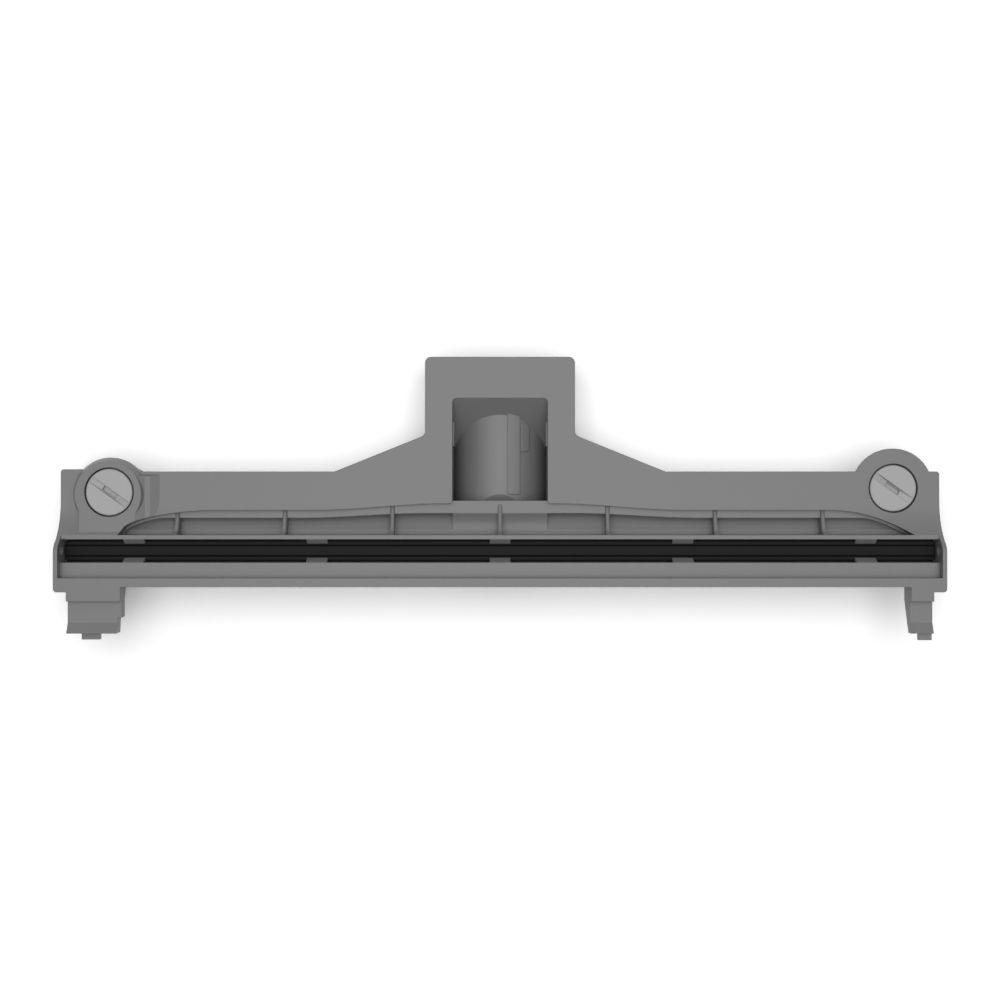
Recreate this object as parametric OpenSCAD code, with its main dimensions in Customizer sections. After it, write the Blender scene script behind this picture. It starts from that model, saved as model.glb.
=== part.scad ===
// Brush roll cover of a vacuum cleaner head, lying on its back with the side that
// faces the floor turned up. X runs along the cover, +Y to the neck, +Z is up.
// The origin is under the middle of the cover, on the parting plane it lies on.

/* [Cover] */
// Length of the cover over its end walls
cover_len = 351.4; // [340:0.2:370]
// Height of the floor side face over the parting plane
face_z = 26.4; // [25:0.1:30]
// Thickness of the moulded skin
skin = 2.2; // [1.8:0.1:2.4]
// Thickness of the two end walls
end_wall = 1.7; // [1.4:0.1:2.2]
// Rear edge of the wings
rear_y = 10.4; // [9:0.1:14]
// Extra reach of the narrow strip at the left end
left_strip_step = 0.9; // [0:0.1:2]
// Width of the narrow strip at the left end
left_strip_w = 9.2; // [7:0.1:10]
// Rounding of the outer corners of the end walls
end_corner_r = 1.4; // [0.8:0.1:1.6]
// Rounding of the rear corners of the end walls
rear_corner_r = 1.2; // [0.8:0.1:1.6]

/* [Neck block] */
// Width of the block that holds the neck
block_w = 60; // [56:0.5:64]
// Rear face of the block
block_rear_y = 56.3; // [52:0.1:62]
// Rounding of the block's rear corners
block_corner_r = 2.4; // [2.3:0.1:4]
// Half width at which the shoulders leave the wings
shoulder_x = 66.2; // [60:0.2:72]
// Slope of the shoulders, rise over run
shoulder_slope = 0.4035; // [0.3:0.01:0.5]
// Fillet between the shoulders and the block
shoulder_fillet = 2.5; // [1.5:0.1:4]

/* [Neck tube] */
// Outer radius of the half tube
neck_r = 20; // [18.8:0.1:20.5]
// Wall of the half tube
neck_wall = 2.4; // [2:0.1:3]
// Drop of the bevel at the front end of the tube
neck_bevel_drop = 1.2; // [0.5:0.1:1.3]
// Length of that bevel
neck_bevel_len = 2.6; // [1.5:0.1:4]

/* [Window] */
// Width of the window over the tube
window_w = 38.2; // [34:0.2:39]
// Front edge of the window
window_front_y = -1.3; // [-1.8:0.1:0]
// Rear edge of the window
window_rear_y = 39.9; // [34:0.1:42]
// Rounding of the window's corners
window_corner_r = 2; // [1:0.1:3]
// Slope of the window's back wall from the upright
window_back_angle = 45; // [30:1:50]
// Height of the flat key rib on the tube
key_rib_h = 0.7; // [0.4:0.1:1]
// Thickness of the small pads in the window
pad_t = 0.6; // [0.4:0.1:1]

/* [Air channel] */
// Upper edge of the channel at the window
channel_mid_y = -2.4; // [-2.8:0.1:-2]
// Upper edge of the channel along the wings
channel_out_y = -5.05; // [-5.6:0.05:-4.6]
// Left tip of the channel
channel_left_x = -151.8; // [-154:0.2:-149]
// Length of the curved left end of the channel
channel_left_run = 39.5; // [34:0.5:44]
// Place where the right end of the channel starts to curve
channel_right_x = 131.6; // [126:0.2:136]
// Radius of the right end of the channel
channel_right_r = 60; // [55:1:66]
// Depth of the ledge under the face
ledge_depth = 1.9; // [1.5:0.1:2.2]
// Inner edge of the ledge at the window
ledge_mid_y = -6.3; // [-6.8:0.1:-6]
// Inner edge of the ledge along the wings
ledge_out_y = -8.2; // [-8.8:0.1:-7.8]
// Least width of the ledge
ledge_min = 1.2; // [0.8:0.1:1.6]
// Depth of the channel at the ledge
groove_depth = 6; // [5.5:0.1:6.5]
// Depth of the channel at the rail
channel_depth = 4; // [3.8:0.1:4.4]
// Width of the level floor along the rail
floor_flat = 1.9; // [1.2:0.1:2.6]
// Number of ribs across the channel
rib_count = 7; // [5:2:9]
// Spacing of the ribs
rib_pitch = 43.1; // [40:0.1:44]
// Thickness of a rib
rib_t = 1.7; // [1.4:0.1:2]

/* [Front bar] */
// Rear face of the rail behind the strip
rail_y = -14.9; // [-15.6:0.1:-14.6]
// Thickness of the rail
rail_t = 1.7; // [1.4:0.1:2.2]
// Radius of the sweep from the face up to the rail
sweep_r = 22; // [20:0.5:24]
// Line at which the sweep leaves the face
sweep_y = -1; // [-1.6:0.1:0]
// Width of the slot that takes the strip
slot_w = 9.2; // [8.8:0.1:9.8]
// Depth of the slot's floor under the face
slot_depth = 1; // [0.6:0.1:1.4]
// Width of the land in front of the slot
land_w = 5.95; // [5:0.05:7]
// Height of that land over the face
land_h = 6; // [5.5:0.1:6.6]
// Width of the front lip
lip_w = 3.5; // [3:0.1:4.5]
// Height of the front lip and the end walls over the face
lip_h = 10; // [9.2:0.1:11]
// Rounding at the top of the end walls' sweep
rim_round = 5; // [4:0.1:5]
// Reach of the end walls past the lip
cheek_reach = 2.05; // [1:0.05:3]
// Radius of the hollow front wall that the brush roll turns in
brush_r = 30; // [28:0.5:36]
// Radius of the round recess in each end wall
recess_r = 2.2; // [1.5:0.1:2.2]
// Depth of that recess
recess_depth = 1; // [0.5:0.1:1]

/* [Strip] */
// Width of the strip's foot
strip_foot_w = 8.8; // [8.2:0.1:8.8]
// Thickness of the foot
strip_foot_t = 1.3; // [1:0.1:1.5]
// Width of the strip's body
strip_body_w = 7.5; // [6.5:0.1:8]
// Height of the body's shoulders over the slot's floor
strip_shoulder_h = 2.6; // [2.2:0.1:3]
// Height of the raised land over the shoulders
strip_land_h = 0.7; // [0.4:0.1:1]
// Width of the raised land
strip_land_w = 3.4; // [2.5:0.1:4]
// Gap at each end of the strip
strip_end_gap = 0.8; // [0.3:0.1:1.5]
// Clearance under and over the strip
strip_clear = 0.1; // [0.05:0.05:0.2]
// Number of pairs of clips
clip_count = 5; // [3:2:5]
// Spacing of the clips
clip_pitch = 72.7; // [60:0.1:80]
// Width of a clip
clip_w = 8.3; // [6:0.1:10]
// Reach of a clip over the strip
clip_reach = 1.8; // [1.5:0.1:2.2]

/* [Raised end] */
// Height of the raised left end over the face
bulge_h = 4; // [3:0.1:4.4]
// Left edge of the raised flat
bulge_left_x = -167.4; // [-168:0.1:-166]
// Right edge of the raised flat
bulge_right_x = -145.1; // [-146:0.1:-144]
// Height of the middle step
bulge_step_h = 2; // [1:0.1:2.5]
// Lean of the rounded ear's steep flank, from its foot to its top
bulge_flank = 1.6; // [1:0.1:2]
// Run of each slope of the right flank
bulge_slope_run = 3.6; // [2.5:0.1:4.5]
// Width of the flat middle step
bulge_step_w = 1.8; // [1:0.1:3]

/* [Locks] */
// Place of the left lock along the cover
left_lock_x = -155.3; // [-156:0.1:-154]
// Place of the left lock across the cover
left_lock_y = 2.1; // [1.5:0.1:3]
// Radius of the rounded ear around the left lock
left_ear_r = 14.8; // [13.5:0.1:16]
// Place of the right lock along the cover
right_lock_x = 157.3; // [155:0.1:158]
// Place of the right lock across the cover
right_lock_y = 3.7; // [3:0.1:4.5]
// Radius of the rounded ear around the right lock
right_ear_r = 16; // [14:0.1:17]
// Radius of a lock's head
head_r = 9.25; // [8.5:0.05:9.5]
// Thickness of the head
head_t = 3.2; // [2.8:0.1:3.6]
// Gap around the head
head_gap = 0.6; // [0.3:0.05:0.8]
// Gap under the head
seat_gap = 0.2; // [0.1:0.05:0.3]
// Thickness of the floor that the lock turns in
seat_t = 3; // [2.6:0.1:3.6]
// Radius of the lock's shank
shank_r = 5.5; // [5:0.1:5.8]
// Running clearance of the shank
shank_clear = 0.05; // [0.02:0.01:0.1]
// Reach of the snap lip over the shank
snap_reach = 0.45; // [0.3:0.05:0.6]
// Length of the thin stem that carries the lugs
stem_len = 6.5; // [5:0.1:8]
// Radius of the thin stem
stem_r = 4.4; // [3.5:0.1:4.8]
// Reach of the two locking lugs from the axis
lug_r = 8; // [7:0.1:8.4]
// Room around the turning lugs
lug_room = 0.5; // [0.4:0.1:1]
// Width of a lug
lug_w = 3.8; // [3:0.1:4.2]
// Thickness of a lug
lug_t = 2.4; // [2:0.1:3]
// Clearance of the lugs in their key slots
key_clear = 0.3; // [0.2:0.05:0.4]
// Turn of the lock from closed to open
lock_turn = 90; // [80:1:90]
// Radius of the stop pin under the head
stop_r = 0.9; // [0.7:0.05:1.1]
// Distance of the stop pin from the axis
stop_place_r = 7.4; // [7.3:0.05:7.7]
// Length of the stop pin
stop_len = 1.5; // [1:0.1:1.7]
// Direction of the coin slot when closed
coin_angle = -35.5; // [-60:0.5:60]
// Width of the coin slot
coin_w = 2.6; // [2:0.1:3]
// Depth of the coin slot
coin_depth = 1.7; // [1.2:0.1:1.8]
// Half length of the coin slot
coin_run = 8.9; // [8:0.1:9]

/* [Legs] */
// Outer side of both legs from the middle
leg_out_x = 170.6; // [168:0.1:172]
// Width of the left leg at its root
left_leg_w = 21.3; // [18:0.1:24]
// Narrowing of the left leg towards its tip
left_leg_taper = 1.8; // [1:0.1:3]
// Width of the right leg
right_leg_w = 8.9; // [7.5:0.1:11]
// Reach of the thick root of a leg past the lip
leg_root_len = 5.65; // [4:0.05:7]
// Reach of a leg's tip past the lip
leg_len = 18.3; // [16:0.1:20]
// Drop from the root to the thin part of a leg
leg_step = 2.5; // [1.5:0.1:3]
// Rise of the hooked tip
leg_hook_h = 2.1; // [1:0.1:2.5]
// Length of the hooked tip
leg_hook_len = 4.2; // [3:0.1:6]
// Reach of the small tab past the tip
tab_len = 2.75; // [2:0.05:3.5]
// Thickness of the small tab
tab_t = 2.2; // [1.8:0.1:2.4]
// Width of the left tab
left_tab_w = 7.2; // [5:0.1:9]
// Width of the right tab
right_tab_w = 5.1; // [4:0.1:6]

/* [Hidden] */
$fn = 64;
eps = 0.02;
// How far a fillet's circle runs past the line that it meets.
kiss = 0.005;
half_len = cover_len / 2;
inner_x = half_len - end_wall;

// Levels and lines across the front bar, from the rail to the lip.
rail_front_y = rail_y - rail_t;
slot_front_y = rail_front_y - slot_w;
land_front_y = slot_front_y - land_w;
bar_front_y = land_front_y - lip_w;
cheek_y = bar_front_y - cheek_reach;
rail_z = face_z + sweep_rise(sweep_y - rail_y);
slot_z = face_z - slot_depth;
land_z = face_z + land_h;
lip_z = face_z + lip_h;
brush_chord = face_z + lip_h - 2 * skin;
brush_y = bar_front_y - sqrt(pow(brush_r, 2) - pow(brush_chord / 2, 2));
brush_z = brush_chord / 2 + skin / 2;

// The rounded end of the sweep touches the sweep and the top of the rim.
rim_y = sweep_y - sqrt(pow(sweep_r + rim_round, 2) - pow(sweep_r + rim_round - lip_h, 2));
rim_touch = sweep_r / (sweep_r + rim_round);
rim_touch_y = sweep_y + (rim_y - sweep_y) * rim_touch;
rim_touch_z = face_z + sweep_r - (sweep_r + rim_round - lip_h) * rim_touch;

// The window, the tube under it and the trough under the channel.
tunnel_r = neck_r - neck_wall;
tube_rear_y = window_rear_y + skin;
trough_z = face_z - groove_depth - skin;
channel_right_tip = channel_right_x
    + sqrt(pow(channel_right_r, 2) - pow(channel_right_r - (channel_out_y - rail_y), 2));
blend_from = 22;
blend_to = 74;
ledge_blend_from = 30;
ledge_blend_to = 80;
channel_step = 2.5;

// Where a rib's crest turns up to the rail, and how deep the rib reaches under its crest.
knee_y = rail_y + 2.5;
knee_z = face_z + 1.4;
rib_root = 6.3;

// Height of the strip's parts and of the clips that hold it down.
strip_z = slot_z + strip_clear;
strip_mid_y = rail_front_y - slot_w / 2;
clip_z = strip_z + strip_shoulder_h + strip_clear;
clip_tip_t = 0.5;

// The lock's levels, counted down from the top of its head.
seat_depth = head_t + seat_gap;
snap_depth = seat_depth + seat_t + seat_gap;
lug_depth = snap_depth + stem_len;
boss_r = head_r + head_gap + skin;
key_angle = coin_angle + lock_turn;
stop_angle = key_angle + 45;
stop_margin = asin((stop_r + key_clear) / stop_place_r);
left_lock_z = face_z + bulge_h;
left_ear_x = left_lock_x - 0.5;
left_ear_y = left_lock_y - 0.9;
right_lock_z = face_z;
right_ear_x = right_lock_x - 0.2;
right_ear_y = right_lock_y - 0.1;
bulge_foot_x = bulge_right_x + 2 * bulge_slope_run + bulge_step_w;
bulge_foot_left_x = bulge_left_x - 1.2;

cover_colour = [0.51, 0.51, 0.505];
strip_colour = [0.11, 0.11, 0.11];
lock_colour = [0.66, 0.66, 0.655];

// Rise of the sweep over the face, at a distance in front of the line where it starts.
function sweep_rise(t) = sweep_r - sqrt(pow(sweep_r, 2) - pow(max(t, 0), 2));

// A smooth step from one value to another between two distances.
function blend(a, b, from, to, x) =
    let(t = max(0, min(1, (x - from) / (to - from)))) a + (b - a) * t * t * (3 - 2 * t);

// Upper edge of the air channel: it sinks from the window to the wings, and curves
// down to the rail at both ends.
function edge_y(x) =
    x < channel_left_x + channel_left_run
        ? rail_y + (channel_out_y - rail_y)
            * sqrt(max(0, 1 - pow((channel_left_x + channel_left_run - x) / channel_left_run, 2)))
        : x > channel_right_x
            ? channel_out_y - channel_right_r
                + sqrt(pow(channel_right_r, 2) - pow(x - channel_right_x, 2))
            : blend(channel_mid_y, channel_out_y, blend_from, blend_to, abs(x));

// Inner edge of the ledge along the channel.
function ledge_y(x) = min(blend(ledge_mid_y, ledge_out_y, ledge_blend_from, ledge_blend_to, abs(x)),
    edge_y(x) - ledge_min);

// Places the children's flat shape across the cover and draws it along X.
module along_x(x0, x1) {
    translate([x0, 0, 0]) rotate([90, 0, 90]) linear_extrude(x1 - x0) children();
}

// Places the children's flat shape along the cover and draws it along Y.
module along_y(y0, y1) {
    translate([0, y1, 0]) rotate([90, 0, 0]) linear_extrude(y1 - y0) children();
}

// What a rounding of radius r takes off a corner whose tip is at the origin.
module corner_waste(r) {
    difference() {
        translate([-r, -r]) square(r + 1);
        translate([-r, -r]) circle(r);
    }
}

// Outline of the cover behind the rail, with its skin inset by g. The skirt goes
// round the room that the lugs of the two locks turn in.
module cover_plan(g, ends, front) {
    shoulder_inset = g * sqrt(1 + pow(shoulder_slope, 2));
    shoulder_top = rear_y + shoulder_slope * (shoulder_x - block_w / 2) - shoulder_inset;
    foot_x = shoulder_x - (shoulder_inset - g) / shoulder_slope;
    difference() {
        union() {
            translate([-half_len + ends, front])
                square([cover_len - 2 * ends, rear_y - g - front]);
            translate([-half_len + ends, front])
                square([left_strip_w - ends - g, rear_y + left_strip_step - g - front]);
            translate([-block_w / 2 + g, 0]) square([block_w - 2 * g, block_rear_y - g]);
            for (side = [0, 1]) mirror([side, 0]) {
                polygon([[0, 0], [foot_x, 0], [foot_x, rear_y - g],
                    [block_w / 2, shoulder_top], [0, shoulder_top]]);
                shoulder_fillet_plan(g);
            }
            translate([left_lock_x, left_lock_y]) circle(lug_r + lug_room + skin - g);
            translate([right_lock_x, right_lock_y]) circle(lug_r + lug_room + skin - g);
        }
        for (side = [0, 1]) mirror([side, 0])
            translate([block_w / 2 - g, block_rear_y - g]) corner_waste(block_corner_r - g);
    }
}

// The fillet between a shoulder and the block, inset by g.
module shoulder_fillet_plan(g) {
    r = shoulder_fillet + g;
    slant = sqrt(1 + pow(shoulder_slope, 2));
    cx = block_w / 2 + shoulder_fillet;
    cy = rear_y + shoulder_slope * (shoulder_x - cx) + shoulder_fillet * slant;
    touch_x = cx - r * shoulder_slope / slant;
    touch_y = cy - r / slant;
    difference() {
        polygon([[cx - r - 1, cy], [cx - r - 1, touch_y - 1], [touch_x, touch_y], [cx, cy]]);
        translate([cx, cy]) circle(r + kiss);
    }
}

// Outline of the air channel between its upper edge and the rail.
module channel_plan(grow) {
    x0 = channel_left_x - grow;
    x1 = channel_right_tip + grow;
    steps = ceil((x1 - x0) / channel_step);
    polygon(concat(
        [for (i = [0 : steps]) let(x = x0 + (x1 - x0) * i / steps,
            inside = max(channel_left_x, min(channel_right_tip, x))) [x, edge_y(inside) + grow]],
        [[x1, rail_front_y], [x0, rail_front_y]]));
}

// Outline of the deep part of the channel, inside the ledge.
module groove_plan() {
    x0 = channel_left_x + ledge_min;
    x1 = channel_right_tip - ledge_min;
    steps = ceil((x1 - x0) / channel_step);
    polygon(concat(
        [for (i = [0 : steps]) let(x = x0 + (x1 - x0) * i / steps) [x, max(ledge_y(x), rail_y + eps)]],
        [[x1, rail_y], [x0, rail_y]]));
}

// Section of the deep part's open space: level at the rail, falling towards the ledge.
module groove_section() {
    flat_y = rail_y + floor_flat;
    slope = (groove_depth - channel_depth) / (ledge_out_y - flat_y);
    low = face_z - channel_depth - slope * (channel_mid_y - flat_y);
    polygon([[rail_y - 1, lip_z], [rail_y - 1, face_z - channel_depth],
        [flat_y, face_z - channel_depth], [channel_mid_y, low], [channel_mid_y, lip_z]]);
}

// The floor in front of the window, which slopes down from the ledge over the tube.
module window_ramp() {
    drop = channel_depth - ledge_depth;
    run = ledge_mid_y - rail_y - floor_flat - 1;
    ramp_r = (pow(run, 2) + pow(drop, 2)) / (2 * drop);
    foot_y = ledge_mid_y - run;
    along_x(-window_w / 2, window_w / 2) difference() {
        translate([rail_y - eps, trough_z])
            square([ledge_mid_y - rail_y + 2 * eps, face_z - ledge_depth - trough_z]);
        translate([foot_y, face_z - channel_depth + ramp_r]) circle(ramp_r, $fn = 128);
        translate([rail_y - 1, face_z - channel_depth])
            square([foot_y - rail_y + 1, channel_depth]);
    }
}

// The open space of the whole channel.
module channel_space() {
    difference() {
        union() {
            translate([0, 0, face_z - ledge_depth]) linear_extrude(lip_h) intersection() {
                channel_plan(0);
                translate([-half_len, rail_y]) square([cover_len, rear_y - rail_y]);
            }
            intersection() {
                translate([0, 0, trough_z]) linear_extrude(lip_h) groove_plan();
                along_x(-half_len, half_len) groove_section();
            }
        }
        window_ramp();
    }
}

// One rib at x along the cover: it climbs gently with a rounded crest from the
// channel's edge, then steeply to the rail.
module channel_rib(x) {
    start_y = x == 0 ? channel_mid_y - 0.4 : edge_y(x) + 0.4;
    low = face_z - ledge_depth + 0.4;
    run = start_y - knee_y;
    rise = knee_z - low;
    translate([x, start_y, low]) rotate([90 - atan(rise / run), 0, 0])
        linear_extrude(norm([run, rise]) + 0.6) {
            translate([-rib_t / 2, -rib_root]) square([rib_t, rib_root - rib_t / 2]);
            translate([0, -rib_t / 2]) circle(rib_t / 2);
        }
    along_x(x - rib_t / 2, x + rib_t / 2)
        polygon([[knee_y + 1, trough_z + skin / 2], [knee_y + 1, knee_z - 1.2],
            [rail_y + 1.2, knee_z + 1.1], [rail_y + 0.4, rail_z - 0.9], [rail_y - eps, rail_z - 0.3],
            [rail_y - eps, trough_z + skin / 2]]);
}

// Section of the front bar: rail, slot, land and lip over the hollow front wall.
module bar_section() {
    difference() {
        union() {
            translate([rail_front_y, trough_z]) square([rail_t, rail_z - trough_z]);
            translate([slot_front_y - skin, slot_z - skin])
                square([rail_front_y - slot_front_y + skin + eps, skin]);
            translate([land_front_y - eps, slot_z - skin])
                square([land_w + eps, land_z - slot_z + skin]);
            translate([bar_front_y, 0]) square([lip_w + skin, lip_z]);
            translate([bar_front_y, 0]) square([lip_w + land_w, land_z]);
        }
        translate([land_front_y, land_z]) square([land_w + 1, lip_h]);
        translate([brush_y, brush_z]) circle(brush_r, $fn = 160);
        difference() {
            translate([bar_front_y, -1]) square([lip_w + land_w + 1, slot_z - skin + 1]);
            translate([brush_y, brush_z]) circle(brush_r + skin, $fn = 160);
        }
    }
}

// Section of an end wall: flat, then up the sweep and round onto the rim.
module end_section() {
    difference() {
        union() {
            translate([cheek_y, 0]) square([rear_y - cheek_y, face_z]);
            difference() {
                translate([rim_touch_y, 0]) square([sweep_y - rim_touch_y, rim_touch_z]);
                translate([sweep_y, face_z + sweep_r]) circle(sweep_r, $fn = 128);
            }
            translate([rim_y, lip_z - rim_round]) circle(rim_round);
            polygon([[rim_touch_y, rim_touch_z], [rim_y, lip_z - rim_round],
                [rim_y, face_z - 1], [rim_touch_y, face_z - 1]]);
            translate([cheek_y, face_z - 1]) square([rim_y - cheek_y, lip_h + 1]);
        }
        difference() {
            translate([cheek_y - 1, -1]) square([cheek_reach + brush_r, face_z + 1]);
            translate([bar_front_y, -2]) square([brush_r + cheek_reach, face_z + 3]);
        }
        intersection() {
            translate([brush_y, brush_z]) circle(brush_r, $fn = 160);
            translate([cheek_y - 1, -1]) square([brush_r, face_z + 1]);
        }
    }
}

// The face swept up to the rail beside the channel's ends.
module sweep_section() {
    intersection() {
        difference() {
            translate([sweep_y, face_z + sweep_r]) circle(sweep_r + skin, $fn = 128);
            translate([sweep_y, face_z + sweep_r]) circle(sweep_r, $fn = 128);
        }
        translate([rail_y - eps, face_z - skin]) square([sweep_y - rail_y + eps, lip_h]);
    }
}

// Section along the cover through the raised left end.
module bulge_section(g) {
    polygon([[bulge_foot_left_x + g, face_z - skin - 1], [bulge_foot_left_x + g, face_z - g],
        [bulge_left_x + g, face_z + bulge_h - g], [bulge_right_x - g / 2, face_z + bulge_h - g],
        [bulge_right_x + bulge_slope_run - g / 2, face_z + bulge_step_h - g],
        [bulge_right_x + bulge_slope_run + bulge_step_w - g, face_z + bulge_step_h - g],
        [bulge_foot_x - g, face_z - g], [bulge_foot_x - g, face_z - skin - 1]]);
}

// The raised left end, inset by g, between the rail and the rear edge.
module bulge(g) {
    intersection() {
        along_y(rail_y - eps, rear_y - g) bulge_section(g);
        along_x(-half_len, 0) polygon([[rail_y - 1, 0], [rail_y - 1, lip_z], [rear_y - 6 - g, lip_z],
            [rear_y - 2.5 - g, face_z + bulge_h - g], [rear_y - 1.2 - g, face_z], [rear_y - 1.2 - g, 0]]);
    }
}

// The two rounded ears around the locks: one raised with a leaning flank, one flush.
module lock_ears() {
    translate([left_ear_x, left_ear_y, face_z]) {
        translate([0, 0, -skin]) cylinder(r = left_ear_r, h = skin, $fn = 96);
        cylinder(r1 = left_ear_r, r2 = left_ear_r - bulge_flank, h = bulge_h, $fn = 96);
    }
    translate([right_ear_x, right_ear_y, face_z - skin]) cylinder(r = right_ear_r, h = skin, $fn = 96);
}

// The skin of the cover without the channel, window and bores.
module cover_skin() {
    difference() {
        union() {
            linear_extrude(face_z) cover_plan(0, 0, rail_front_y);
            bulge(0);
        }
        translate([0, 0, -1]) linear_extrude(face_z - skin + 1)
            cover_plan(skin, end_wall, rail_front_y - 1);
        bulge(skin);
    }
    along_x(-inner_x - eps, inner_x + eps) sweep_section();
    along_x(-inner_x - eps, inner_x + eps) bar_section();
    for (side = [0, 1]) mirror([side, 0, 0]) along_x(inner_x, half_len) end_section();
    translate([0, 0, trough_z]) linear_extrude(face_z - trough_z) intersection() {
        channel_plan(skin);
        translate([-inner_x, rail_front_y]) square([2 * inner_x, rear_y - rail_front_y]);
    }
}

// The half tube that the neck lies in, from the brush side to behind the window.
module neck_tube() {
    along_y(bar_front_y + lip_w, tube_rear_y) intersection() {
        circle(neck_r, $fn = 128);
        translate([-neck_r, 0]) square([2 * neck_r, neck_r]);
    }
}

// The walls of the window down to the tube.
module window_walls() {
    side = window_w / 2 + skin;
    along_x(-side, side) polygon([[channel_mid_y - 2 * skin, 0], [tube_rear_y, 0],
        [tube_rear_y, window_back_z(tube_rear_y - skin)], [window_rear_y + skin, face_z - eps],
        [channel_mid_y - 2 * skin, face_z - ledge_depth]]);
}

// Height of the sloped back wall at a distance y.
function window_back_z(y) = face_z - (window_rear_y - y) / tan(window_back_angle);

// The open space of the window, over the tube.
module window_space() {
    depth = face_z;
    front = window_front_y;
    difference() {
        intersection() {
            linear_extrude(lip_z) difference() {
                translate([-window_w / 2, front]) square([window_w, window_rear_y - front]);
                for (side = [0, 1]) mirror([side, 0])
                    translate([window_w / 2, window_rear_y]) corner_waste(window_corner_r);
            }
            along_x(-window_w, window_w) polygon([[front - 1, 0], [window_rear_y
                - depth * tan(window_back_angle), 0], [window_rear_y, face_z],
                [window_rear_y, lip_z], [front - 1, lip_z]]);
        }
        tube_in_window();
    }
    // The gap between the face's corners, down to the land in front of the window.
    translate([0, 0, face_z - ledge_depth]) linear_extrude(lip_h) difference() {
        translate([-window_w / 2 - window_corner_r, channel_mid_y - eps])
            square([window_w + 2 * window_corner_r, front - channel_mid_y + 1]);
        for (side = [0, 1]) mirror([side, 0]) {
            translate([window_w / 2 + 1.4, channel_mid_y + 1.4]) circle(1.4);
            translate([window_w / 2, channel_mid_y + 1.4]) square([4, 3]);
            translate([window_w / 2 + 1.4, channel_mid_y]) square([4, 3]);
        }
    }
}

// The tube as it shows in the window: bevelled in front, with its key rib and pads.
module tube_in_window() {
    crest = neck_r;
    bevel_y = window_front_y + neck_bevel_len;
    difference() {
        along_y(window_front_y - 1, window_rear_y + 1) circle(neck_r, $fn = 128);
        along_x(-neck_r, neck_r) polygon([[bevel_y, crest], [bevel_y, crest + 2],
            [window_front_y - 2, crest + 2],
            [window_front_y - 2, crest - neck_bevel_drop * (neck_bevel_len + 2) / neck_bevel_len]]);
    }
    intersection() {
        along_y(bevel_y, window_rear_y) circle(neck_r + key_rib_h, $fn = 128);
        translate([3.2, 0, 0]) cube([4.9, window_rear_y, lip_z]);
    }
    intersection() {
        along_y(0, window_rear_y) circle(neck_r + pad_t, $fn = 128);
        translate([0, 0, -1]) linear_extrude(lip_z) difference() {
            translate([8.3, 18.7]) square([3.6, 11.3]);
            translate([11.9, 30]) corner_waste(1.6);
            translate([11.9, 18.7]) mirror([0, 1]) corner_waste(1.6);
        }
    }
    for (side = [0, 1]) mirror([side, 0, 0])
        translate([window_w / 2 - pad_t, 20.7, 0]) cube([pad_t + 1, 9.8, face_z - 5]);
}

// The boss under a lock whose head lies at height z.
module lock_boss(x, y, z) {
    translate([x, y, z - seat_depth - seat_t])
        cylinder(r = boss_r, h = seat_depth + seat_t - eps, $fn = 96);
}

// The counterbore, bore, key slots and stop groove of a lock.
module lock_seat(x, y, z) {
    translate([x, y, z]) {
        translate([0, 0, -seat_depth]) cylinder(r = head_r + head_gap, h = seat_depth + 2, $fn = 96);
        translate([0, 0, -seat_depth - seat_t - 1])
            cylinder(r = shank_r + shank_clear, h = seat_t + 2, $fn = 96);
        translate([0, 0, -seat_depth - seat_t - 1]) linear_extrude(seat_t + 2) intersection() {
            circle(lug_r + key_clear);
            rotate(key_angle) square([3 * lug_r, lug_w + 2 * key_clear], center = true);
        }
        translate([0, 0, -seat_depth - stop_len]) linear_extrude(stop_len + 1) {
            intersection() {
                difference() {
                    circle(stop_place_r + stop_r + key_clear);
                    circle(stop_place_r - stop_r - key_clear);
                }
                rotate(stop_angle - stop_margin) polygon(concat([[0, 0]], [for (i = [0 : 3])
                    let(a = i / 3 * (lock_turn + 2 * stop_margin)) 3 * lug_r * [cos(a), sin(a)]]));
            }
        }
    }
}

// One clip pair over the strip, at x along the cover.
module clip_pair(x) {
    along_x(x - clip_w / 2, x + clip_w / 2) {
        polygon([[rail_front_y + eps, clip_z], [rail_front_y - clip_reach, clip_z],
            [rail_front_y - clip_reach, clip_z + clip_tip_t], [rail_front_y - 0.2, rail_z - 0.3],
            [rail_front_y + eps, rail_z - 0.3]]);
        polygon([[slot_front_y - eps, clip_z], [slot_front_y + clip_reach, clip_z],
            [slot_front_y + clip_reach, clip_z + clip_tip_t], [slot_front_y + 0.2, land_z - 0.3],
            [slot_front_y - eps, land_z - 0.3]]);
    }
}

// Side view of a leg from the front wall to its hooked tip, over an underside line.
module leg_section(under) {
    root_y = bar_front_y - leg_root_len;
    tip_y = bar_front_y - leg_len;
    thin_z = lip_z - leg_step;
    polygon(concat([[bar_front_y + lip_w, lip_z], [root_y, lip_z], [root_y - 0.2, thin_z],
        [tip_y + leg_hook_len, thin_z], [tip_y, thin_z + leg_hook_h]], under));
}

// The left leg with the small web along its inner side.
module left_leg() {
    root_y = bar_front_y - leg_root_len;
    tip_y = bar_front_y - leg_len;
    in_x = -leg_out_x + left_leg_w;
    low = lip_z - leg_step - 4.6;
    intersection() {
        along_x(-leg_out_x, in_x) leg_section([[tip_y, low], [root_y, low],
            [bar_front_y + lip_w, face_z]]);
        linear_extrude(lip_z + 1) polygon([[-leg_out_x, 0], [-leg_out_x, tip_y],
            [in_x - left_leg_taper, tip_y], [in_x - left_leg_taper + 0.3, root_y - 6.5],
            [in_x, root_y - 6.5], [in_x, 0]]);
    }
    translate([-leg_out_x + 4.8, tip_y - tab_len, low]) cube([left_tab_w, tab_len + 1, tab_t]);
}

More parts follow.
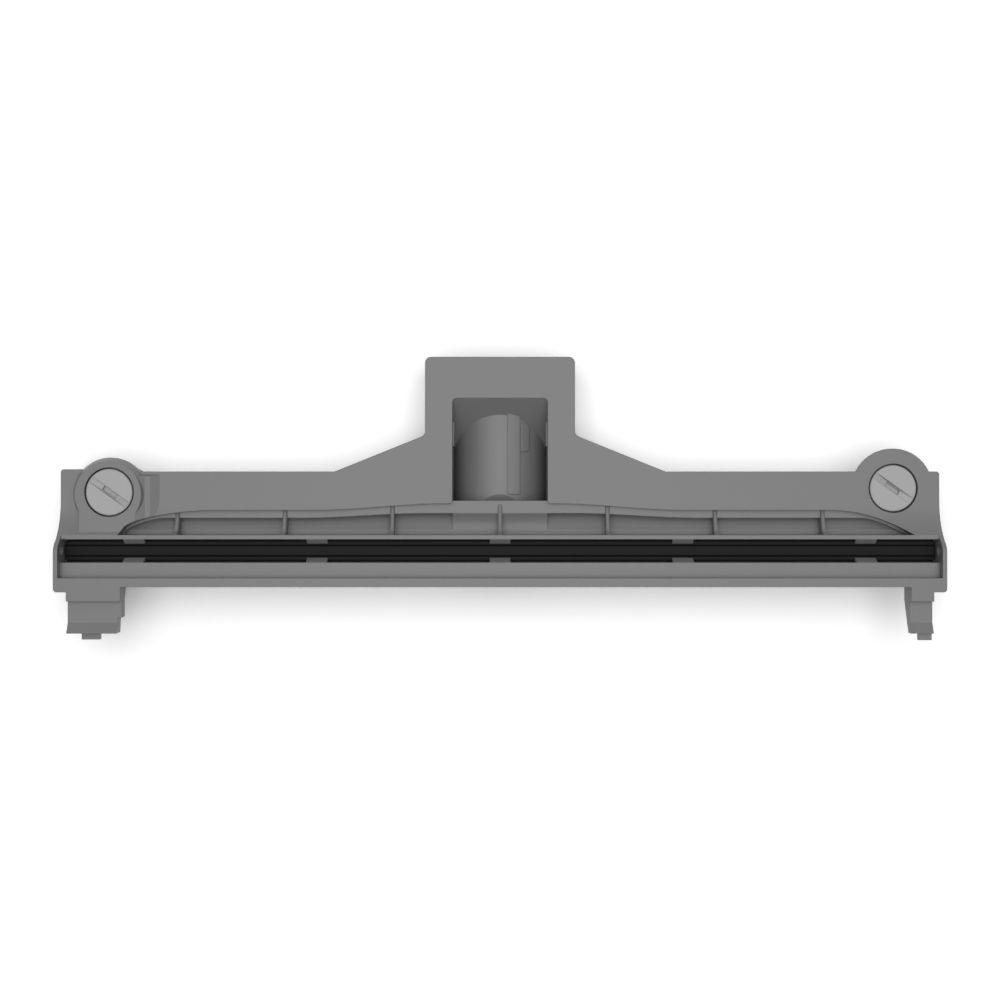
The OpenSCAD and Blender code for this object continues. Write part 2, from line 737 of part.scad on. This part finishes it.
// The right leg, which thins towards its tip.
module right_leg() {
    root_y = bar_front_y - leg_root_len;
    tip_y = bar_front_y - leg_len;
    low = lip_z - leg_step - 2;
    along_x(leg_out_x - right_leg_w, leg_out_x) leg_section([[tip_y, low], [root_y, face_z],
        [bar_front_y + lip_w, face_z]]);
    translate([leg_out_x - 0.3 - right_tab_w, tip_y - tab_len, low])
        cube([right_tab_w, tab_len + 1, tab_t]);
}

// The two corner blocks between the lip and the end walls.
module corner_blocks() {
    for (side = [0, 1]) mirror([side, 0, 0])
        translate([leg_out_x - 1, cheek_y, land_z - skin])
            cube([half_len - leg_out_x + 1, cheek_reach + lip_w, lip_z - land_z + skin]);
}

// Stiffening ribs inside the wings, under the ribs of the channel.
module inner_ribs() {
    for (i = [1 : (rib_count - 1) / 2], side = [-1, 1])
        along_x(side * i * rib_pitch - rib_t / 2, side * i * rib_pitch + rib_t / 2)
            polygon([[rail_y, trough_z + eps], [channel_out_y, trough_z + eps],
                [channel_out_y + skin, trough_z - 3], [rear_y - eps, trough_z - 3],
                [rear_y - eps, face_z - skin / 2], [rail_y, face_z - groove_depth - skin / 2]]);
}

module cover() {
    color(cover_colour) difference() {
        union() {
            difference() {
                union() {
                    cover_skin();
                    lock_ears();
                    neck_tube();
                    window_walls();
                    inner_ribs();
                    lock_boss(left_lock_x, left_lock_y, left_lock_z);
                    lock_boss(right_lock_x, right_lock_y, right_lock_z);
                    corner_blocks();
                }
                channel_space();
                window_space();
            }
            for (i = [0 : rib_count - 1]) channel_rib((i - (rib_count - 1) / 2) * rib_pitch);
            for (i = [0 : clip_count - 1]) clip_pair((i - (clip_count - 1) / 2) * clip_pitch);
            left_leg();
            right_leg();
        }
        along_y(brush_y, block_rear_y + 1) circle(tunnel_r, $fn = 128);
        lock_seat(left_lock_x, left_lock_y, left_lock_z);
        lock_seat(right_lock_x, right_lock_y, right_lock_z);
        for (side = [0, 1]) mirror([side, 0, 0]) {
            translate([inner_x - 1, strip_mid_y, rail_z + 0.5]) rotate([0, 90, 0])
                cylinder(r = recess_r, h = recess_depth + 1);
            translate([half_len, cheek_y, -1]) mirror([0, 1, 0])
                linear_extrude(lip_z + 2) corner_waste(end_corner_r);
        }
        translate([half_len, rear_y, -1]) linear_extrude(lip_z) corner_waste(rear_corner_r);
        translate([-half_len, rear_y + left_strip_step, -1]) mirror([1, 0, 0])
            linear_extrude(lip_z) corner_waste(rear_corner_r);
    }
}

module sealing_strip() {
    reach = inner_x - strip_end_gap;
    top = strip_z + strip_shoulder_h;
    half = [[strip_foot_w / 2, strip_z], [strip_foot_w / 2, strip_z + strip_foot_t],
        [strip_body_w / 2, strip_z + strip_foot_t], [strip_body_w / 2, top],
        [strip_land_w / 2 + strip_land_h, top], [strip_land_w / 2, top + strip_land_h]];
    color(strip_colour) along_x(-reach, reach) translate([strip_mid_y, 0])
        polygon(concat(half, [for (i = [len(half) - 1 : -1 : 0]) [-half[i][0], half[i][1]]]));
}

// A quarter turn lock with its axis along Z and the top of its head at the origin.
module lock() {
    coin_r = (pow(coin_run, 2) + pow(coin_depth, 2)) / (2 * coin_depth);
    edge = 0.35;
    difference() {
        union() {
            rotate_extrude($fn = 96) polygon([[0, 0], [head_r - edge, 0], [head_r, -edge],
                [head_r, -head_t], [shank_r, -head_t], [shank_r, -snap_depth],
                [shank_r + snap_reach, -snap_depth], [shank_r + snap_reach, -snap_depth - 0.5],
                [stem_r, -snap_depth - 1.8], [stem_r, -lug_depth], [0, -lug_depth]]);
            translate([0, 0, -lug_depth]) linear_extrude(lug_t) intersection() {
                circle(lug_r);
                rotate(coin_angle) square([3 * lug_r, lug_w], center = true);
            }
            rotate(stop_angle) translate([stop_place_r, 0, -head_t - stop_len + seat_gap])
                cylinder(r = stop_r, h = stop_len + eps);
        }
        rotate(coin_angle) translate([0, coin_w / 2, coin_r - coin_depth]) rotate([90, 0, 0])
            cylinder(r = coin_r, h = coin_w, $fn = 160);
        rotate(coin_angle) translate([-3.2, -0.9, -coin_depth - 0.9]) cube([6.4, 1.8, 2]);
    }
}

module lock_left() {
    color(lock_colour) translate([left_lock_x, left_lock_y, left_lock_z]) lock();
}

module lock_right() {
    color(lock_colour) translate([right_lock_x, right_lock_y, right_lock_z]) lock();
}

cover();
sealing_strip();
lock_left();
lock_right();
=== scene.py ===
"""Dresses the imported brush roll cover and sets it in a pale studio, seen straight from above."""

import logging
import math
from dataclasses import dataclass
from enum import Enum
from typing import Iterable, Optional

import bpy
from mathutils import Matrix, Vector

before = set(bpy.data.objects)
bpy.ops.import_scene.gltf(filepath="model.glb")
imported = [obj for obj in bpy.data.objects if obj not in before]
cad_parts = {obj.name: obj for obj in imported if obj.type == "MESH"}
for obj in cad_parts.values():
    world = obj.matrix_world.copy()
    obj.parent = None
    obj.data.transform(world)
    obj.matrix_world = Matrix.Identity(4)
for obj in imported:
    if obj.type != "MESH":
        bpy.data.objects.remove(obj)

log = logging.getLogger("brush_roll_cover")

MM = 0.001


class Grain(Enum):
    """How the surface of a moulding or extrusion came out of its tool."""

    SPARK = "fine even grain of a spark-eroded mould"
    DRAWN = "faint lines along the length of an extrusion"


class Seen(Enum):
    """Light paths on which the studio shows its white background."""

    CAMERA = "Is Camera Ray"
    GLOSSY = "Is Glossy Ray"
    CLEAR = "Is Transmission Ray"


def grey(level: float) -> float:
    """Turns a display grey into the linear value that a shader takes.

    Args:
        level: Display grey, from 0 to 255.

    Returns:
        The linear value, from 0 to 1.
    """
    share = level / 255.0
    return share / 12.92 if share <= 0.04045 else ((share + 0.055) / 1.055) ** 2.4


@dataclass(frozen=True)
class Plastic:
    """One coloured plastic with the surface that its tool leaves.

    Attributes:
        name: Name of the material.
        tint: Display grey of red, green and blue, from 0 to 255.
        roughness: Roughness of the plain surface.
        gloss: Specular level of the surface.
        grain: Kind of surface that the tool leaves.
        grain_mm: Size of one grain, in millimetres.
        grain_depth_mm: Depth of the grain, in millimetres.
        mottle: Share by which the colour drifts over the moulding.
        edge_mm: Radius of the smallest edges, in millimetres.
    """

    name: str
    tint: tuple[float, float, float]
    roughness: float
    gloss: float
    grain: Grain = Grain.SPARK
    grain_mm: float = 0.35
    grain_depth_mm: float = 0.012
    mottle: float = 0.03
    edge_mm: float = 0.25

    def material(self) -> bpy.types.Material:
        """Builds the node material of this plastic.

        Returns:
            The new material.
        """
        made = bpy.data.materials.new(self.name)
        made.use_nodes = True
        nodes = made.node_tree.nodes
        links = made.node_tree.links
        shader = nodes["Principled BSDF"]
        shader.inputs["Specular IOR Level"].default_value = self.gloss
        place = nodes.new("ShaderNodeTexCoord")
        self._colour(nodes, links, place, shader)
        self._surface(nodes, links, place, shader)
        return made

    def _colour(self, nodes: bpy.types.Nodes, links: bpy.types.NodeLinks,
                place: bpy.types.Node, shader: bpy.types.Node) -> None:
        """Lets the colour and the roughness drift a little over the moulding, as flow in the mould does.

        Args:
            nodes: Nodes of the material.
            links: Links of the material.
            place: Texture coordinate node.
            shader: Principled shader.
        """
        flow = nodes.new("ShaderNodeTexNoise")
        flow.inputs["Scale"].default_value = 22.0
        flow.inputs["Detail"].default_value = 3.0
        links.new(place.outputs["Object"], flow.inputs["Vector"])
        drift = nodes.new("ShaderNodeValToRGB")
        base = Vector([grey(level) for level in self.tint])
        for stop, side in zip(drift.color_ramp.elements, (-1.0, 1.0)):
            stop.position = 0.5 + 0.2 * side
            stop.color = (*(base * (1.0 + side * self.mottle / 2.0)), 1.0)
        links.new(flow.outputs["Fac"], drift.inputs["Fac"])
        links.new(drift.outputs["Color"], shader.inputs["Base Color"])
        polish = nodes.new("ShaderNodeMapRange")
        polish.inputs["To Min"].default_value = self.roughness - 0.04
        polish.inputs["To Max"].default_value = self.roughness + 0.04
        links.new(flow.outputs["Fac"], polish.inputs["Value"])
        links.new(polish.outputs["Result"], shader.inputs["Roughness"])

    def _surface(self, nodes: bpy.types.Nodes, links: bpy.types.NodeLinks,
                 place: bpy.types.Node, shader: bpy.types.Node) -> None:
        """Adds the grain of the tool over the small rounding of the edges.

        Args:
            nodes: Nodes of the material.
            links: Links of the material.
            place: Texture coordinate node.
            shader: Principled shader.
        """
        stretch = nodes.new("ShaderNodeMapping")
        along = 0.02 if self.grain is Grain.DRAWN else 1.0
        per_metre = 1.0 / (self.grain_mm * MM)
        stretch.inputs["Scale"].default_value = (per_metre * along, per_metre, per_metre)
        links.new(place.outputs["Object"], stretch.inputs["Vector"])
        pits = nodes.new("ShaderNodeTexNoise")
        pits.inputs["Scale"].default_value = 1.0
        pits.inputs["Detail"].default_value = 2.0
        links.new(stretch.outputs["Vector"], pits.inputs["Vector"])
        rounded = nodes.new("ShaderNodeBevel")
        rounded.samples = 6
        rounded.inputs["Radius"].default_value = self.edge_mm * MM
        bump = nodes.new("ShaderNodeBump")
        bump.inputs["Distance"].default_value = self.grain_depth_mm * MM
        links.new(pits.outputs["Fac"], bump.inputs["Height"])
        links.new(rounded.outputs["Normal"], bump.inputs["Normal"])
        links.new(bump.outputs["Normal"], shader.inputs["Normal"])


@dataclass
class Moulding:
    """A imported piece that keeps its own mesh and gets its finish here.

    Attributes:
        node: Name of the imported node.
        plastic: Finish of the piece.
    """

    node: str
    plastic: Plastic

    def dress(self) -> bpy.types.Object:
        """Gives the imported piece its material.

        Returns:
            The dressed object.
        """
        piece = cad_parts[self.node]
        made = self.plastic.material()
        if not piece.material_slots:
            piece.data.materials.append(made)
        for slot in piece.material_slots:
            slot.material = made
        return piece


@dataclass
class Studio:
    """Pale floor, a large soft lamp overhead and a sky that is brightest at its top.

    Attributes:
        floor_mm: Length of one side of the floor, in millimetres.
        floor_tone: Share of light that the floor sends back to the part.
        floor_seen: Brightness of the floor as it is seen.
        sky_level: Brightness of the sky at the horizon.
        sky_top: How much brighter the sky is overhead.
        sky_lean: How much brighter the sky is behind the block than before the lip.
        lamp_share: Light of the lamp, where 1 alone shows a colour as written.
        lamp_mm: Length of one side of the lamp, in millimetres.
        lamp_away_mm: Distance of the lamp, in millimetres.
        lamp_rise_deg: Height of the lamp over the floor, in degrees.
    """

    floor_mm: float = 4000.0
    floor_tone: float = 0.75
    floor_seen: float = 1.3
    sky_level: float = 0.1
    sky_top: float = 0.8
    sky_lean: float = 0.15
    lamp_share: float = 0.5
    lamp_mm: float = 1400.0
    lamp_away_mm: float = 1600.0
    lamp_rise_deg: float = 86.0

    def build(self) -> None:
        """Makes the floor, the sky and the lamp."""
        self._floor()
        self._sky()
        self._lamp()

    def _background_ray(self, tree: bpy.types.NodeTree) -> bpy.types.NodeSocket:
        """Finds the rays that see the studio's background.

        Args:
            tree: Node tree to add to.

        Returns:
            A socket that is 1 on those rays.
        """
        path = tree.nodes.new("ShaderNodeLightPath")
        total: Optional[bpy.types.NodeSocket] = None
        for kind in Seen:
            if total is None:
                total = path.outputs[kind.value]
                continue
            either = tree.nodes.new("ShaderNodeMath")
            either.operation = "MAXIMUM"
            tree.links.new(total, either.inputs[0])
            tree.links.new(path.outputs[kind.value], either.inputs[1])
            total = either.outputs[0]
        return total

    def _floor(self) -> None:
        """Lays the floor under the part, white where nothing shades it."""
        half = self.floor_mm * MM / 2.0
        mesh = bpy.data.meshes.new("floor")
        corners = [(-half, -half, 0.0), (half, -half, 0.0), (half, half, 0.0), (-half, half, 0.0)]
        mesh.from_pydata(corners, [], [(0, 1, 2, 3)])
        floor = bpy.data.objects.new("floor", mesh)
        bpy.context.scene.collection.objects.link(floor)
        made = bpy.data.materials.new("studio_floor")
        made.use_nodes = True
        tree = made.node_tree
        tree.nodes.clear()
        tone = tree.nodes.new("ShaderNodeMix")
        tone.data_type = "RGBA"
        tone.clamp_result = False
        tree.links.new(self._background_ray(tree), tone.inputs[0])
        tone.inputs[6].default_value = (self.floor_tone, self.floor_tone, self.floor_tone, 1.0)
        tone.inputs[7].default_value = (self.floor_seen, self.floor_seen, self.floor_seen, 1.0)
        paint = tree.nodes.new("ShaderNodeBsdfDiffuse")
        tree.links.new(tone.outputs[2], paint.inputs["Color"])
        out = tree.nodes.new("ShaderNodeOutputMaterial")
        tree.links.new(paint.outputs[0], out.inputs["Surface"])
        mesh.materials.append(made)

    def _sky(self) -> None:
        """Lights the part from a sky that brightens upwards, on a white background."""
        world = bpy.data.worlds.new("studio")
        bpy.context.scene.world = world
        world.use_nodes = True
        tree = world.node_tree
        tree.nodes.clear()
        place = tree.nodes.new("ShaderNodeTexCoord")
        lean = tree.nodes.new("ShaderNodeVectorMath")
        lean.operation = "DOT_PRODUCT"
        lean.inputs[1].default_value = (0.0, self.sky_lean, 0.0)
        tree.links.new(place.outputs["Generated"], lean.inputs[0])
        level = tree.nodes.new("ShaderNodeMath")
        level.operation = "ADD"
        level.use_clamp = False
        level.inputs[1].default_value = self.sky_level
        tree.links.new(lean.outputs["Value"], level.inputs[0])
        height = tree.nodes.new("ShaderNodeSeparateXYZ")
        tree.links.new(place.outputs["Generated"], height.inputs[0])
        last = height.outputs["Z"]
        for step, value in (("MAXIMUM", 0.0), ("POWER", 2.0), ("MULTIPLY", self.sky_top)):
            node = tree.nodes.new("ShaderNodeMath")
            node.operation = step
            node.inputs[1].default_value = value
            tree.links.new(last, node.inputs[0])
            last = node.outputs[0]
        total = tree.nodes.new("ShaderNodeMath")
        total.operation = "ADD"
        tree.links.new(level.outputs[0], total.inputs[0])
        tree.links.new(last, total.inputs[1])
        light = tree.nodes.new("ShaderNodeBackground")
        tree.links.new(total.outputs[0], light.inputs["Strength"])
        white = tree.nodes.new("ShaderNodeBackground")
        white.inputs["Color"].default_value = (1.0, 1.0, 1.0, 1.0)
        light.inputs["Color"].default_value = (1.0, 1.0, 1.0, 1.0)
        choice = tree.nodes.new("ShaderNodeMixShader")
        tree.links.new(self._background_ray(tree), choice.inputs[0])
        tree.links.new(light.outputs[0], choice.inputs[1])
        tree.links.new(white.outputs[0], choice.inputs[2])
        out = tree.nodes.new("ShaderNodeOutputWorld")
        tree.links.new(choice.outputs[0], out.inputs["Surface"])

    def _lamp(self) -> None:
        """Hangs one large soft lamp overhead, a little behind the middle."""
        size = self.lamp_mm * MM
        away = self.lamp_away_mm * MM
        rise = math.radians(self.lamp_rise_deg)
        data = bpy.data.lights.new("soft_lamp", "AREA")
        data.size = size
        # A flat lamp of radiance L gives L * area * sin(rise) / away^2 on the floor below it,
        # and sends out pi * L * area in all.
        radiance = self.lamp_share * math.pi * away ** 2 / (size ** 2 * math.sin(rise))
        data.energy = math.pi * radiance * size ** 2
        lamp = bpy.data.objects.new("soft_lamp", data)
        lamp.location = (0.0, away * math.cos(rise), away * math.sin(rise))
        lamp.rotation_euler = (-(math.pi / 2.0 - rise), 0.0, 0.0)
        bpy.context.scene.collection.objects.link(lamp)


@dataclass
class Camera:
    """The camera of the photograph: straight above the cover.

    Attributes:
        face_mm: Height of the floor side face, in millimetres.
        away_mm: Distance of the camera from that face, in millimetres.
        offset_mm: Place of the picture's middle across the cover, in millimetres.
        lens_mm: Focal length, in millimetres.
        sensor_mm: Width of the sensor, in millimetres.
    """

    face_mm: float = 26.4
    away_mm: float = 555.6
    offset_mm: float = -1.0
    lens_mm: float = 50.0
    sensor_mm: float = 36.0

    def build(self) -> None:
        """Makes the camera and hands it to the scene."""
        data = bpy.data.cameras.new("camera")
        data.lens = self.lens_mm
        data.sensor_width = self.sensor_mm
        camera = bpy.data.objects.new("camera", data)
        camera.location = (0.0, self.offset_mm * MM, (self.face_mm + self.away_mm) * MM)
        bpy.context.scene.collection.objects.link(camera)
        bpy.context.scene.camera = camera


def main() -> None:
    """Dresses the pieces in order and reports each."""
    logging.basicConfig(level=logging.INFO, format="%(name)s: %(message)s")
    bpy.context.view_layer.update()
    bpy.context.scene.view_settings.view_transform = "Standard"
    grey_body = Plastic("grey_body_plastic", (113.0, 113.0, 112.5), 0.42, 0.5, edge_mm=0.4)
    black_strip = Plastic("black_strip_plastic", (17.0, 17.0, 17.0), 0.55, 0.12, Grain.DRAWN)
    pale_lock = Plastic("pale_lock_plastic", (160.0, 160.0, 159.5), 0.42, 0.5, edge_mm=0.5)
    pieces = (
        Moulding("cover", grey_body),
        Moulding("sealing_strip", black_strip),
        Moulding("lock_left", pale_lock),
        Moulding("lock_right", pale_lock),
    )
    for piece in pieces:
        log.info("%s dressed in %s", piece.dress().name, piece.plastic.name)
    Studio().build()
    Camera().build()
    log.info("sizes written")


if __name__ == "__main__":
    main()
